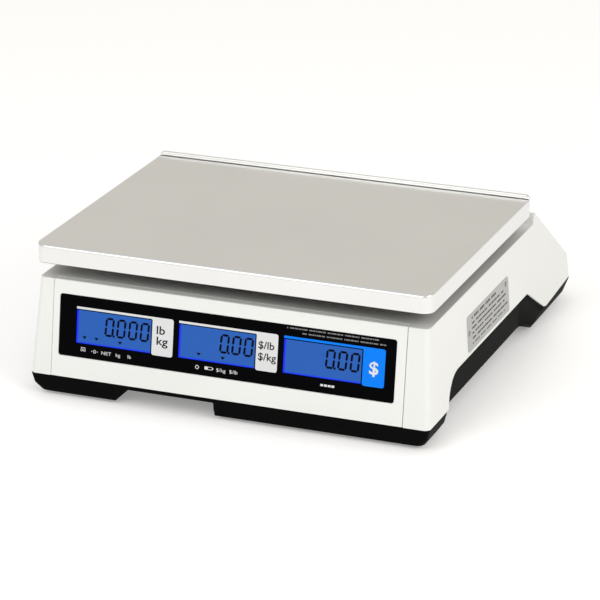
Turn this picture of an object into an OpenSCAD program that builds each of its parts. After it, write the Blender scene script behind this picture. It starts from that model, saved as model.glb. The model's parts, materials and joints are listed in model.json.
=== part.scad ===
// Retail price scale: a low plastic housing on a dark base, a sheet metal platter carried by one
// load cell, a customer display on the front slope and an operator console along the back.
// Origin: on the surface it stands on, under the middle of its footprint. +Z up, -Y customer side.

/* [Body] */
// Width of the housing at its lower edge
body_w = 354; // [350:1:358]
// Depth of the housing at its lower edge
body_d = 380; // [378:1:386]
// Height of the flat deck under the platter
deck_z = 100.5; // [99:0.5:102]
// Height of the joint line between the housing and the base
joint_z = 18.6; // [18:0.1:19]
// Height of the underside between the feet
floor_z = 15.3; // [15:0.1:15.6]
// Height of the plastic foot blocks above the surface
foot_z = 3; // [2.8:0.1:3.2]
// Wall thickness of the two plastic shells
wall = 2.6; // [2.2:0.1:2.8]
// Plan radius of the front corners
corner_r = 5; // [4:0.5:8]
// Angle of the side walls from upright
side_draft = 3.7; // [3.5:0.1:4.2]
// Angle of the front and back walls from upright
front_draft = 9.2; // [8.8:0.1:9.4]

/* [Platter] */
// Width of the platter
platter_w = 348; // [342:1:350]
// Depth of the platter's flat in front of its lip
platter_d = 252; // [248:1:253]
// Distance of the flat's middle in front of the body's middle
platter_shift = 53; // [52:1:55]
// Height of the platter's upper face
platter_z = 129.7; // [129:0.1:131]
// Height of the platter's folded edge
flange_h = 16; // [14:1:17]
// Height of the lip along the back of the platter
lip_h = 4; // [3:0.5:5]
// Thickness of the platter's sheet
sheet_t = 1.2; // [1:0.1:1.5]
// Thickness of the folded lip
lip_t = 3; // [2:0.5:4]

/* [Console] */
// Distance of the console's front step behind the body's middle
step_y = 96; // [95:1:98]
// Height of the console's front edge
peak_z = 109.1; // [108:0.1:110]
// Angle of the console's sloping face from level
console_tilt = 37.6; // [37:0.1:38.2]
// Width of the key panel
panel_w = 330; // [320:1:332]
// Travel of a key
key_travel = 1.2; // [0.8:0.1:1.3]

/* [Customer display] */
// Left end of the front insert
insert_x0 = -158; // [-160:1:-157]
// Right end of the front insert
insert_x1 = 154; // [152:1:156]
// Width of one display window
window_w = 67.7; // [66:0.1:69]
// Height of one display window
window_h = 28.2; // [27:0.1:30]
// Distance between display windows
window_pitch = 92.5; // [92:0.1:93]
// Left edge of the first display window
window_x0 = -136.2; // [-137:0.1:-135]

/* [Weighing] */
// Length of the load cell
cell_l = 130; // [128:1:132]
// Width of the load cell
cell_w = 30; // [28:1:32]
// Height of the load cell
cell_h = 22; // [22:1:24]
// Travel of the load cell's free end at the overload stop
cell_travel = 0.5; // [0.3:0.1:0.5]

/* [Feet] */
// Radius of a rubber foot
pad_r = 10; // [9:0.5:10]
// Radius of a foot's threaded stem
stem_r = 3; // [2.5:0.5:3]
// Sideways distance of a foot from the middle
foot_x = 148; // [146:1:150]

/* [Hidden] */
$fn = 48;
hull_fn = 32;
thin = 0.1;
half_w = body_w / 2;
half_d = body_d / 2;
// The hollow starts a little above the wall's thickness, clear of the outline's own levels
hollow_lift = 0.05;
inner_floor_z = floor_z + wall + hollow_lift;
over = 60;

// The shells are one tapered block: its half sizes at a height
function half_w_at(z) = half_w - (z - joint_z) * tan(side_draft);
function half_d_at(z) = half_d - (z - joint_z) * tan(front_draft);

// Height of the console's slope at y, drop below its surface
function console_z(y, drop) = peak_z - (y - peak_y) * tan(console_tilt) - drop / cos(console_tilt);

// Plan radius of the housing's back corners
back_corner_r = 2.5;

// The base curves in below the joint line: [height, inset, plan corner radius] from the top down
BASE_RINGS = [[joint_z + 2, 0, 2.5], [10, 2, 4], [foot_z - 1, 7.5, 7]];
base_front_inset = 0.5;

deck_half_w = half_w_at(deck_z);
front_top_y = -half_d_at(deck_z);

platter_y = -platter_shift;
platter_front = platter_y - platter_d / 2;
platter_back = platter_y + platter_d / 2 + lip_t;
platter_front_r = 9;
platter_back_r = 2.5;
plate_under = platter_z - sheet_t;

// Console slope, from its upper edge down to the back wall
peak_y = step_y + 3.3;

// Side hand grips, cut into the base and seen through an arch in the housing
grip_x = half_w - 7.5;
grip_front = -145;
grip_turn = 62;
grip_back = 116;
grip_top = 44.5;
arch_front = -141;
arch_turn = 70;
arch_curve = 27;
arch_end_curve = 20;
arch_gap = 0.7;

// Behind the grips the joint line dips, then climbs to the back wall
joint_dip = 3;
joint_rise = 1.5;
joint_slope = (joint_dip + joint_rise) / (half_d - grip_back);
function joint_line(y) = joint_z - joint_dip + (y - grip_back) * joint_slope;
arch_slope = (grip_top - joint_line(grip_back)) / (grip_back - arch_turn);

// Front and back gaps between the foot blocks
front_gap = [-100, -11];
back_gap = [-90, 90];

// Load cell and what it carries
cell_z = 30;
cell_hole_x = [37, 57];
arm_z = 108;
arm_t = 10;
hub_x = 47;
hub_size = [40, 30];
well_size = [52, 42];
cushion_at = [132, 88];
stop_gap = 0.2;

foot_front_y = -168;
foot_back_y = 107;
FEET = [
    ["front_left", -foot_x + 6, foot_front_y],
    ["front_right", foot_x, foot_front_y],
    ["back_left", -foot_x, foot_back_y],
    ["back_right", foot_x, foot_back_y]
];
pad_h = 6;
stem_top = 26;

// Overlay on the front slope, measured down the slope from its upper edge
overlay_x0 = -151.6;
overlay_x1 = 145.2;
overlay_s0 = 12;
overlay_s1 = 64;
overlay_t = 0.8;
window_s0 = 23.8;
insert_t = 3;
insert_wrap = 6.5;
insert_gap = 0.35;
WINDOW_X = [for (i = [0:2]) window_x0 + i * window_pitch];

// Console panel, measured down the slope from its upper edge
panel_v0 = 5;
panel_v1 = 103;
panel_t = 1.5;
panel_ledge = 2.5;
op_window_v0 = 11;
op_window = [64, 24];
op_overlay_w = panel_w - 14.6;
op_overlay_rim = 5;
OP_WINDOW_X = [-98, 0, 98];
key_size = [22, 11.5];
key_cap_h = 2.2;
KEY_X = [-112, -84, -56, 58, 86];
KEY_V = [50, 64.5, 79, 93.5];
KEY_NODES = [for (i = [1:20]) str("key_", i)];
PAD_NODES = [for (f = FEET) str("foot_pad_", f[0])];
STEM_NODES = [for (f = FEET) str("foot_screw_", f[0])];
// Housing screws: [x, y, height of the surface under the head]
screw_x = 160;
screw_back_y = 142;
SCREW_AT = [for (x = [-screw_x, screw_x]) each [
    [x, -140, floor_z], [x, 40, floor_z], [x, screw_back_y, 8.5]
]];
screw_seat_z = 22.3;
boss_z = screw_seat_z + 0.3;
back_boss_top = 62;

battery_at = [41, -136.5, inner_floor_z + 0.6];
battery_size = [107, 47, 70];
door_x = [37, 152];
door_y = [-138, -88];
door_t = 2;
door_clear = 0.4;
door_pin_r = 0.8;
board_at = [-150, -140, 27];
board_size = [96, 62, 1.6];
rocker_y = 22;
rocker_z = 31;
jack_y = -20;
jack_z = 31;
level_at = [-150, 84.5];

// ---- shared shapes ----

// Flat rounded rectangle, centred
module round_rect(w, d, r) {
    square([w - 2 * r, d], center = true);
    square([w, d - 2 * r], center = true);
    for (x = [-1, 1], y = [-1, 1])
        translate([x * (w / 2 - r), y * (d / 2 - r)]) circle(r);
}

// The housing's envelope between two levels, moved in from its outer face
module envelope(z0, z1, inset) {
    hull()
        for (x = [-1, 1], y = [-1, 1], z = [z0, z1 - thin]) {
            r = max((y < 0 ? corner_r : back_corner_r) - inset, 1);
            w = half_w_at(z) - inset - r;
            d = half_d_at(z) - inset - r;
            translate([x * w, y * d, z]) cylinder(r = r, h = thin, $fn = hull_fn);
        }
}

// Side outline run right across the width; its points are [y, z]
module across(width) {
    translate([-width / 2, 0, 0]) rotate([90, 0, 90]) linear_extrude(width) children();
}

// On the front slope: +X right, +Y up the slope, +Z out of it, from the slope's upper edge
module on_front() {
    translate([0, front_top_y, deck_z]) rotate([90 - front_draft, 0, 0]) children();
}

// On the console: +X right, +Y down the slope, +Z out of it, from the slope's upper edge
module on_console() {
    translate([0, peak_y, peak_z]) rotate([-console_tilt, 0, 0]) children();
}

// A sheet on the front slope from x0 to x1, s0 to s1 down it and n0 to n1 out of it
module front_sheet(x0, x1, s0, s1, n0, n1) {
    on_front() translate([x0, -s1, n0]) cube([x1 - x0, s1 - s0, n1 - n0]);
}

// A sheet on the console, centred on x
module console_sheet(x, w, v0, v1, n0, n1) {
    on_console() translate([x - w / 2, v0, n0]) cube([w, v1 - v0, n1 - n0]);
}

// ---- housing ----

// Side outline of the housing, drop below its upper surfaces
module housing_outline(drop) {
    back_y = half_d + 5;
    polygon([
        [-half_d - 5, joint_z], [-half_d - 5, deck_z - drop],
        [step_y - 2.4 + drop, deck_z - drop],
        [step_y + drop, min(peak_z - 1, console_z(step_y + drop, drop))],
        [peak_y + drop, console_z(peak_y + drop, drop)],
        [back_y, console_z(back_y, drop)], [back_y, joint_line(back_y)],
        [grip_back, joint_line(grip_back)], [arch_turn, joint_line(grip_back)], [arch_turn, joint_z]
    ]);
}

// Arch in a side wall, over the hand grip
module grip_arch() {
    low = joint_z - 1;
    curve_y = arch_front + arch_curve;
    // The corner at its back end is rounded, between the arch's fall and the joint line's rise
    fall = atan(arch_slope);
    rise = atan(joint_slope);
    middle = 90 - (fall - rise) / 2;
    reach = arch_end_curve / cos((fall + rise) / 2);
    centre = [grip_back, joint_line(grip_back)] + reach * [cos(middle), sin(middle)];
    corner = [
        for (k = [0:6]) let (a = 270 - fall + (fall + rise) * k / 6)
            centre + arch_end_curve * [cos(a), sin(a)]
    ];
    translate([curve_y, grip_top - arch_curve]) circle(arch_curve);
    polygon(concat(
        [[arch_front - 3.7, -5], [arch_front - 3.7, low], [curve_y, low], [curve_y, grip_top],
         [arch_turn, grip_top]],
        corner, [[corner[6].x, -5]]
    ));
}

module screw_boss(z0, z1) {
    difference() {
        translate([0, 0, z0]) cylinder(r = 4.5, h = z1 - z0);
        translate([0, 0, z0 - 1]) cylinder(r = 1.75, h = 20);
    }
}

module top_housing() {
    insert_end_y = front_top_y + insert_wrap + insert_gap;
    color("whitesmoke") {
        difference() {
            intersection() {
                envelope(joint_z - joint_dip, peak_z + 1, 0);
                across(body_w + over) housing_outline(0);
            }
            intersection() {
                envelope(joint_z - joint_dip - 1, peak_z + 1, wall);
                across(body_w + over) translate([0, -1]) housing_outline(wall - 1);
            }
            // Opening for the front insert, down the slope and over its upper edge
            translate([insert_x0, -half_d - 5, joint_z - 3])
                cube([insert_x1 - insert_x0, half_d + 5 + insert_end_y, deck_z]);
            across(body_w + over) grip_arch();
            // Well for the hub of the spider
            translate([hub_x, platter_y, deck_z - 10])
                linear_extrude(20) round_rect(well_size[0], well_size[1], 6);
            // Recess for the key panel, and the opening inside its ledge
            panel_recess(insert_gap, -panel_t);
            panel_recess(-panel_ledge, -9);
            translate([level_at[0], level_at[1], deck_z - 10]) cylinder(r = 7.1, h = 20);
        }
        // Raised collar round the well keeps spills out
        translate([hub_x, platter_y, deck_z - 0.5]) linear_extrude(3.5) difference() {
            round_rect(well_size[0] + 5, well_size[1] + 5, 8);
            round_rect(well_size[0], well_size[1], 6);
        }
        for (p = SCREW_AT)
            translate([p[0], p[1], 0]) screw_boss(boss_z, p[1] < step_y ? deck_z - 1 : back_boss_top);
        // Ribs tie the back bosses to the side walls
        for (side = [0, 1])
            mirror([side, 0, 0]) translate([screw_x + 4, screw_back_y - 1, boss_z])
                cube([half_w_at(back_boss_top) - screw_x - 5, 2, back_boss_top - boss_z]);
    }
}

// Recess for the key panel, grown by a margin, from n out of the slope
module panel_recess(m, n) {
    console_sheet(0, panel_w + 2 * m, panel_v0 - m, panel_v1 + m, n, 5);
}

module housing_screws() {
    color("silver")
        for (p = SCREW_AT)
            translate([p[0], p[1], p[2]]) difference() {
                union() {
                    cylinder(r = 3.6, h = 2);
                    cylinder(r = 1.7, h = screw_seat_z + 12 - p[2]);
                }
                translate([0, 0, -1]) cylinder(r = 1.4, h = 2.2, $fn = 6);
            }
}

// ---- base ----

// Side outline of the base, inset from its lower surfaces, up to a level over the joint line
module base_outline(inset, lift) {
    i = inset;
    top = joint_z + lift;
    end_y = half_d + 0.1;
    back_z = joint_line(end_y);
    polygon(concat(
        [[-half_d - 5, top], [-half_d - 5, foot_z + i], [-150 - i, foot_z + i], [-145.2 - i, floor_z + i]],
        [for (k = [0:8]) let (a = k * 37.75 / 8) [59 + i + 58.8 * sin(a), floor_z + i - 58.8 * (1 - cos(a))]],
        [[118, foot_z + i], [174, 9 + i], [end_y, back_z - 0.4 + i], [end_y, back_z + lift],
         [grip_back, top - joint_dip], [grip_back - 1, top - joint_dip], [grip_back - 6, top]]
    ));
}

// Gaps between the foot blocks, grown by a margin
module foot_gaps(m) {
    h = floor_z + 5 + m;
    translate([front_gap[0] - m, -half_d - 10, -5]) cube([front_gap[1] - front_gap[0] + 2 * m, 60, h]);
    translate([back_gap[0] - m, 55, -5]) cube([back_gap[1] - back_gap[0] + 2 * m, 150, h]);
}

// Hand grip recesses at both sides, grown by a margin; their back ends run out at a slant
module grips(m) {
    for (side = [0, 1])
        mirror([side, 0, 0]) translate([0, 0, -5]) linear_extrude(grip_top + 5 + m)
            polygon([
                [grip_x - m, grip_front - m], [grip_x - m, grip_turn], [half_w + 2 - m, grip_back],
                [half_w + 20, grip_back], [half_w + 20, grip_front - m]
            ]);
}

// Solid back ends of the grips, which fill the housing's arches behind the slant
module grip_ends() {
    low = floor_z + 1;
    high = grip_top - 0.5;
    start_y = grip_turn + 1;
    end_y = grip_back - arch_gap - (low - joint_line(grip_back)) / arch_slope;
    intersection() {
        envelope(floor_z, grip_top + wall, 0.6);
        across(body_w + over)
            polygon([[start_y, low], [start_y, high], [arch_turn - 0.3, high], [end_y, low]]);
        for (side = [0, 1])
            mirror([side, 0, 0]) translate([grip_x - wall + 1, grip_turn - 5, floor_z - 5])
                cube([20, 80, 60]);
    }
}

module base_block(inset, lift) {
    intersection() {
        hull() for (ring = BASE_RINGS, x = [-1, 1], y = [-1, 1]) {
            r = max(ring[2] - inset, 1);
            w = half_w - ring[1] - inset - r;
            d = half_d - ring[1] * base_front_inset - inset - r;
            translate([x * w, y * d, ring[0] - thin]) cylinder(r = r, h = thin, $fn = hull_fn);
        }
        across(body_w + over) base_outline(inset, lift);
    }
}

module base() {
    t = wall;
    color([0.07, 0.07, 0.08]) {
        difference() {
            union() {
                difference() {
                    base_block(0, 0);
                    difference() {
                        translate([0, 0, hollow_lift]) base_block(t, 5);
                        foot_gaps(t);
                        grips(t);
                    }
                    foot_gaps(0);
                }
                // Walls and roof of the grips, up inside the housing
                intersection() {
                    grips(t);
                    envelope(floor_z, grip_top + t, wall + 0.4);
                }
                grip_ends();
                // Seats for the feet
                for (f = FEET) translate([f[1], f[2], foot_z]) cylinder(r = pad_r + 3, h = 7);
                for (f = FEET) translate([f[1], f[2], foot_z]) cylinder(r = 7, h = 19);
                // Seats for the housing screws
                for (p = SCREW_AT) translate(p) cylinder(r = 6, h = screw_seat_z - p[2]);
                // Pillars for the main board
                for (x = [6, board_size[0] - 6], y = [6, board_size[1] - 6])
                    translate([board_at[0] + x, board_at[1] + y, inner_floor_z - 1])
                        cylinder(r = 3, h = board_at[2] - inner_floor_z + 1);
                // Ribs that hold the battery
                for (x = [door_x[0] - 3.5, door_x[1] + 0.5])
                    translate([x, door_y[0], inner_floor_z - 1]) cube([3, 40, 16]);
                // Threaded bosses for the overload stops
                for (x = cell_hole_x) translate([x, platter_y, inner_floor_z - 1]) cylinder(r = 5, h = 7);
            }
            grips(0);
            for (f = FEET) {
                translate([f[1], f[2], foot_z - 5]) cylinder(r = pad_r + 0.5, h = 8.5);
                translate([f[1], f[2], foot_z]) cylinder(r = stem_r + 0.05, h = 40);
            }
            for (p = SCREW_AT) {
                translate([p[0], p[1], 0]) cylinder(r = 3.8, h = p[2] + 2.05);
                translate([p[0], p[1], 0]) cylinder(r = 1.9, h = 30);
            }
            for (x = cell_hole_x) translate([x, platter_y, floor_z - 1]) cylinder(r = 2.5, h = 30);
            for (x = cell_hole_x) translate([-x, platter_y, floor_z - 1]) cylinder(r = 3.1, h = 30);
            // Opening for the battery door, with the holes for its hinge pins
            translate([door_x[0], door_y[0], floor_z - 5])
                cube([door_x[1] - door_x[0], door_y[1] - door_y[0], 5 + wall + 0.2]);
            door_axis(door_pin_r + 0.05, door_x[0] - 2.2, door_x[1] + 2.2);
            // Openings for the power switch and the supply socket in the left grip
            translate([-grip_x - 5, rocker_y - 9.7, rocker_z - 6.2]) cube([10, 19.4, 12.4]);
            translate([-grip_x - 5, jack_y, jack_z]) rotate([0, 90, 0]) cylinder(r = 4.6, h = 10);
        }
    }
}

// Rod along the battery door's hinge axis
module door_axis(r, x0, x1) {
    translate([x0, door_y[0] + door_clear + door_t / 2, floor_z + door_t / 2])
        rotate([0, 90, 0]) cylinder(r = r, h = x1 - x0);
}

module battery_door() {
    clear = door_clear;
    w = door_x[1] - door_x[0] - 2 * clear;
    d = door_y[1] - door_y[0] - 2 * clear - door_t / 2;
    color([0.1, 0.1, 0.11]) {
        difference() {
            translate([door_x[0] + clear, door_y[0] + clear + door_t / 2, floor_z]) cube([w, d, door_t]);
            // Finger grooves at the free edge
            for (i = [0:4])
                translate([(door_x[0] + door_x[1]) / 2 - 10, door_y[1] - 10 + i * 1.6, floor_z - 1])
                    cube([20, 0.8, 1.6]);
        }
        door_axis(door_t / 2, door_x[0] + clear, door_x[1] - clear);
        door_axis(door_pin_r, door_x[0] - 2, door_x[1] + 2);
    }
}

// ---- customer display ----

module customer_panel() {
    w = insert_x1 - insert_x0 - 2 * insert_gap;
    color("white") difference() {
        intersection() {
            translate([insert_x0 + insert_gap, -half_d - 5, joint_z + insert_gap])
                cube([w, half_d + 5 + front_top_y + insert_wrap, deck_z]);
            difference() {
                envelope(joint_z, deck_z, 0);
                envelope(joint_z - 1, deck_z - wall, insert_t);
            }
        }
        overlay_shape(0.3, -1, 5);
        for (x = WINDOW_X)
            front_sheet(x - 0.4, x + window_w + 0.4, window_s0 - 0.4, window_s0 + window_h + 0.4, -9, 5);
    }
}

// Outline of the overlay grown by a margin, from n0 to n1 out of the slope
module overlay_shape(m, n0, n1) {
    on_front() translate([(overlay_x0 + overlay_x1) / 2, -(overlay_s0 + overlay_s1) / 2, n0])
        linear_extrude(n1 - n0)
            round_rect(overlay_x1 - overlay_x0 + 2 * m, overlay_s1 - overlay_s0 + 2 * m, 2 + m);
}

module customer_overlay() {
    color([0.02, 0.02, 0.02]) difference() {
        overlay_shape(0, -1, -1 + overlay_t);
        for (x = WINDOW_X) front_sheet(x, x + window_w, window_s0, window_s0 + window_h, -5, 5);
    }
}

// One liquid crystal module: its glass fills a window, its frame sits behind the insert
module customer_lcd(i) {
    x = WINDOW_X[i];
    color([0.15, 0.4, 0.8]) {
        front_sheet(x + 0.3, x + window_w - 0.3, window_s0 + 0.3, window_s0 + window_h - 0.3, -4, -0.5);
        front_sheet(x - 4, x + window_w + 4, window_s0 - 3, window_s0 + window_h + 3, -9, -3.3);
    }
}

module weight_display() { customer_lcd(0); }
module unit_price_display() { customer_lcd(1); }
module total_price_display() { customer_lcd(2); }

module display_board() {
    color("darkgreen") front_sheet(-148, 142, 14, 62, -11, -9.4);
    color("black") front_sheet(-20, 20, 56, 61, -16, -10.9);
}

// ---- operator console ----

module operator_panel() {
    color([0.93, 0.93, 0.92]) difference() {
        console_sheet(0, panel_w, panel_v0, panel_v1, -panel_t, 0);
        window_sheet(0, op_overlay_w + 0.6, op_overlay_rim + 0.3, -0.8, 5);
        for (x = OP_WINDOW_X) window_sheet(x, op_window[0] + 0.8, 0.4, -9, 5);
        for (x = KEY_X, v = KEY_V)
            on_console() translate([x, v, -10])
                linear_extrude(20) round_rect(key_size[0] + 0.8, key_size[1] + 0.8, 2.4);
    }
}

// A sheet on the console centred on x and as high as a window, with a rim round that height
module window_sheet(x, w, rim, n0, n1) {
    console_sheet(x, w, op_window_v0 - rim, op_window_v0 + op_window[1] + rim, n0, n1);
}

module operator_overlay() {
    color([0.02, 0.02, 0.02]) difference() {
        window_sheet(0, op_overlay_w, op_overlay_rim, -0.8, -0.1);
        for (x = OP_WINDOW_X) window_sheet(x, op_window[0], 0, -9, 5);
    }
}

module operator_displays() {
    color([0.15, 0.4, 0.8])
        for (x = OP_WINDOW_X) {
            window_sheet(x, op_window[0] - 0.6, -0.3, -4, -0.4);
            window_sheet(x, op_window[0] + 7, 3, -5.8, -1.9);
        }
}

// A key cap and the wider skirt that keeps it behind the panel
module key(i) {
    on_console() translate([KEY_X[i % 5], KEY_V[floor(i / 5)], 0]) {
        translate([0, 0, -2.5]) linear_extrude(2.5 + key_cap_h) round_rect(key_size[0], key_size[1], 2);
        translate([0, 0, -3.1]) linear_extrude(1.3) round_rect(key_size[0] + 2.4, key_size[1] + 2, 2);
    }
}

// Silicone mat under the keys with one raised dome for each
module keypad_mat() {
    color([0.35, 0.35, 0.36]) {
        console_sheet(-13, 232, KEY_V[0] - 8, KEY_V[3] + 8, -6.1, -5.3);
        for (x = KEY_X, v = KEY_V)
            on_console() translate([x, v, -5.4]) cylinder(r1 = 4, r2 = 3, h = 2 - key_travel);
    }
}

module operator_board() {
    color("darkgreen") console_sheet(-4, 270, 9, 102.5, -7.8, -6.2);
}

// ---- electrics ----

module main_board() {
    color("darkgreen") translate(board_at) cube(board_size);
    color("black") {
        translate(board_at + [34, 20, 1.5]) cube([16, 16, 2]);
        translate(board_at + [70, 8, 1.5]) cube([12, 22, 9]);
        translate(board_at + [10, 44, 1.5]) cube([20, 8, 8]);
    }
    color("silver") for (x = [12, 24]) translate(board_at + [x, 14, 1.5]) cylinder(r = 4, h = 12);
}

module battery() {
    color([0.25, 0.25, 0.27]) translate(battery_at) cube(battery_size);
    color("red") translate(battery_at + [12, 14, battery_size[2] - 0.1]) cube([5, 8, 4]);
    color("black") translate(battery_at + [30, 14, battery_size[2] - 0.1]) cube([5, 8, 4]);
}

// Snap-in body of the power switch, with the open frame that the rocker tilts in
module switch_housing() {
    color([0.03, 0.03, 0.03]) difference() {
        union() {
            translate([-grip_x - 1.5, rocker_y - 10.5, rocker_z - 7.2]) cube([1.45, 21, 14.4]);
            translate([-grip_x - 1, rocker_y - 9.5, rocker_z - 6]) cube([14, 19, 12]);
        }
        translate([-grip_x - 3, rocker_y - 7.6, rocker_z - 4.4]) cube([9, 15.2, 8.8]);
        translate([-grip_x + 1.5, rocker_y, rocker_z - 5.4]) cylinder(r = 1.25, h = 10.8);
    }
}

module power_rocker() {
    color([0.06, 0.06, 0.06]) translate([-grip_x + 1.5, rocker_y, rocker_z]) {
        translate([0, 0, -4]) cylinder(r = 2.2, h = 8);
        translate([0, 0, -4]) linear_extrude(8)
            polygon([[1, -2.6], [-1, -6.4], [-3.2, -6.4], [-2.2, 0], [-4, 6], [-1.4, 6.4], [1, 2.6]]);
        translate([0, 0, -5.2]) cylinder(r = 1.2, h = 10.4);
    }
}

module dc_jack() {
    color([0.05, 0.05, 0.05]) translate([-grip_x, jack_y, jack_z]) rotate([0, 90, 0]) {
        difference() {
            union() {
                translate([0, 0, -1.2]) cylinder(r = 6, h = 1.15);
                translate([0, 0, -0.6]) cylinder(r = 4.5, h = 13);
            }
            translate([0, 0, -2]) cylinder(r = 3.15, h = 11.5);
        }
        translate([0, 0, 1]) cylinder(r = 1.05, h = 9);
    }
}

module bubble_level() {
    color([0.75, 0.9, 0.3]) translate([level_at[0], level_at[1], deck_z]) {
        translate([0, 0, -7]) cylinder(r = 7, h = 7.2);
        translate([0, 0, 0.1]) cylinder(r = 8, h = 0.9);
    }
}

module rating_plate() {
    color("silver") translate([deck_half_w, 0, deck_z]) rotate([0, -side_draft, 0]) {
        translate([0.02, -89, -52.6]) cube([0.5, 107, 31]);
        for (p = [[-84, -37], [12, -27]])
            translate([0.4, p[0], p[1]]) rotate([0, 90, 0]) cylinder(r = 2.4, h = 0.9);
    }
}

// ---- weighing ----

module load_cell_mount() {
    color([0.62, 0.63, 0.65]) difference() {
        translate([-cell_l / 2, platter_y - cell_w / 2, inner_floor_z])
            cube([38, cell_w, cell_z - inner_floor_z]);
        for (x = cell_hole_x) translate([-x, platter_y, 0]) cylinder(r = 3.1, h = 60);
    }
}

// Aluminium beam with the two joined holes that make it a parallelogram
module load_cell() {
    color([0.8, 0.81, 0.83]) difference() {
        translate([-cell_l / 2, platter_y - cell_w / 2, cell_z]) cube([cell_l, cell_w, cell_h]);
        for (x = [-13, 13])
            translate([x, platter_y + cell_w, cell_z + cell_h / 2])
                rotate([90, 0, 0]) cylinder(r = 8, h = 2 * cell_w);
        translate([-13, platter_y - cell_w, cell_z + cell_h / 2 - 3]) cube([26, 2 * cell_w, 6]);
        for (x = cell_hole_x, side = [-1, 1])
            translate([side * x, platter_y, 0]) cylinder(r = 3.05, h = 90);
    }
}

module load_cell_fixed_screws() {
    color("silver") for (x = cell_hole_x) translate([-x, platter_y, 0]) {
        translate([0, 0, floor_z - 3]) difference() {
            cylinder(r = 5, h = 3);
            translate([0, 0, -1]) cylinder(r = 2.5, h = 3, $fn = 6);
        }
        translate([0, 0, floor_z - 0.1]) cylinder(r = 3, h = 30);
    }
}

module live_end_spacer() {
    color([0.62, 0.63, 0.65]) difference() {
        translate([hub_x - 18, platter_y - cell_w / 2, cell_z + cell_h]) cube([36, cell_w, 8]);
        for (x = cell_hole_x) translate([x, platter_y, 0]) cylinder(r = 3.1, h = 90);
    }
}

module load_cell_live_screws() {
    z = cell_z + cell_h + 16;
    color("silver") for (x = cell_hole_x) translate([x, platter_y, z]) difference() {
        union() {
            cylinder(r = 5, h = 6);
            translate([0, 0, -30]) cylinder(r = 3, h = 30.1);
        }
        translate([0, 0, 3]) cylinder(r = 2.5, h = 4, $fn = 6);
    }
}

module overload_stops() {
    color("silver") for (x = cell_hole_x)
        translate([x, platter_y, inner_floor_z - 1]) difference() {
            cylinder(r = 2.45, h = cell_z - cell_travel - stop_gap - inner_floor_z + 1);
            translate([0, 0, -1]) cylinder(r = 1.2, h = 3, $fn = 6);
        }
}

// Round cable from the cell's fixed end to the main board, straight across and then up to its plug
module load_cell_cable() {
    color([0.5, 0.5, 0.5]) {
        translate([-cell_l / 2 - 12, platter_y, cell_z + 5]) rotate([0, 90, 0]) cylinder(r = 2, h = 12.05);
        translate([-cell_l / 2 - 12, platter_y, cell_z + 5]) sphere(r = 2);
        translate([-cell_l / 2 - 12, platter_y, cell_z + 5]) rotate([90, 0, 0]) cylinder(r = 2, h = 36);
        translate([-cell_l / 2 - 16, platter_y - 43, board_at[2] + board_size[2]]) cube([8, 8, 9]);
    }
}

// Cast cross that spreads the platter's load to the cell
module platter_spider() {
    signs = [for (x = [-1, 1], y = [-1, 1]) [x, y]];
    pads = [for (k = signs) [k[0] * cushion_at[0], platter_y + k[1] * cushion_at[1]]];
    root = 14;
    end = 8;
    post_z = cell_z + cell_h + 8;
    color([0.66, 0.67, 0.69]) difference() {
        union() {
            translate([0, 0, arm_z]) linear_extrude(arm_t) {
                for (i = [0:3]) polygon([
                    [-root, platter_y], [0, platter_y + root * signs[i][1]], pads[i] - [end * signs[i][0], 0],
                    pads[i], pads[i] - [0, end * signs[i][1]], [root * signs[i][0], platter_y]
                ]);
                for (p = pads) translate(p) circle(r = 12);
                translate([16, platter_y]) square([100, 44], center = true);
            }
            translate([hub_x - hub_size[0] / 2, platter_y - hub_size[1] / 2, post_z])
                cube([hub_size[0], hub_size[1], arm_z - post_z + 1]);
        }
        // The post is hollow above its bolting floor
        translate([hub_x - hub_size[0] / 2 + 4, platter_y - hub_size[1] / 2 + 4, post_z + 8])
            cube([hub_size[0] - 8, hub_size[1] - 8, 60]);
        for (x = cell_hole_x) translate([x, platter_y, 0]) cylinder(r = 3.1, h = 90);
        for (p = pads) translate([p[0], p[1], arm_z - 1]) cylinder(r = 4, h = 20);
    }
}

module platter_cushions() {
    color([0.1, 0.1, 0.1])
        for (x = [-1, 1], y = [-1, 1])
            translate([x * cushion_at[0], platter_y + y * cushion_at[1], arm_z]) {
                translate([0, 0, 2]) cylinder(r = 3.95, h = arm_t - 1.9);
                translate([0, 0, arm_t]) cylinder(r = 9, h = plate_under - arm_z - arm_t);
            }
}

// Plan outline of the platter, inset from its edge
module platter_plan(inset) {
    hull()
        for (x = [-1, 1]) {
            translate([x * (platter_w / 2 - platter_front_r), platter_front + platter_front_r])
                circle(platter_front_r - inset);
            translate([x * (platter_w / 2 - platter_back_r), platter_back - platter_back_r])
                circle(platter_back_r - inset);
        }
}

// Stamped sheet with its edges folded down and a double lip folded up along the back
module platter() {
    color([0.8, 0.8, 0.79]) {
        difference() {
            translate([0, 0, platter_z - flange_h]) linear_extrude(flange_h) platter_plan(0);
            translate([0, 0, platter_z - flange_h - 1])
                linear_extrude(flange_h + 1 - sheet_t) platter_plan(sheet_t);
        }
        translate([-platter_w / 2 + platter_back_r, platter_back - lip_t, platter_z - 0.1])
            cube([platter_w - 2 * platter_back_r, lip_t, lip_h + 0.1]);
    }
}

// ---- feet ----

module foot_pad(i) {
    color([0.08, 0.08, 0.08]) translate([FEET[i][1], FEET[i][2], 0]) difference() {
        union() {
            cylinder(r1 = pad_r - 0.8, r2 = pad_r, h = 1);
            translate([0, 0, 1]) cylinder(r = pad_r, h = pad_h - 1);
        }
        translate([0, 0, 2]) cylinder(r = stem_r + 0.05, h = 10);
    }
}

module foot_screw(i) {
    color("silver") translate([FEET[i][1], FEET[i][2], 2.05]) cylinder(r = stem_r, h = stem_top - 2.05);
}

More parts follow.
